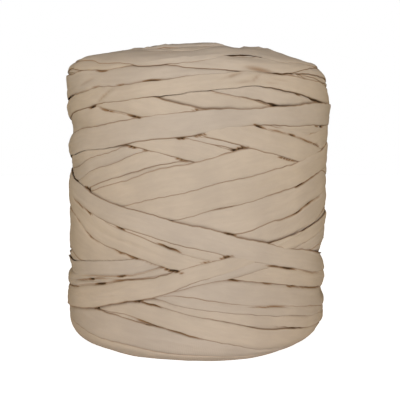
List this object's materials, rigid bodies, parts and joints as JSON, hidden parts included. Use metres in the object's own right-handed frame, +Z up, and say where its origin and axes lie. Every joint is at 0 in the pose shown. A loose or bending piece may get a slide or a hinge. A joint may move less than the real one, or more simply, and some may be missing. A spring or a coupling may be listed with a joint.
{
  "type": "spool of t-shirt yarn",
  "caption": "Squat round package of flat jersey strip yarn, cross-wound around an open bore, with soft rounded edges.",
  "frame": {"origin": "centre of the flat ring that the package stands on, on the axis of its bore", "axes": "+Z up along the bore, -Y the front shown in the picture, +X to that view's right"},
  "size_m": [0.1947, 0.1957, 0.198],
  "materials": {
    "jersey": "matte"
  },
  "bodies": {
    "root": {"wound_strip": "jersey"}
  },
  "joints": []
}
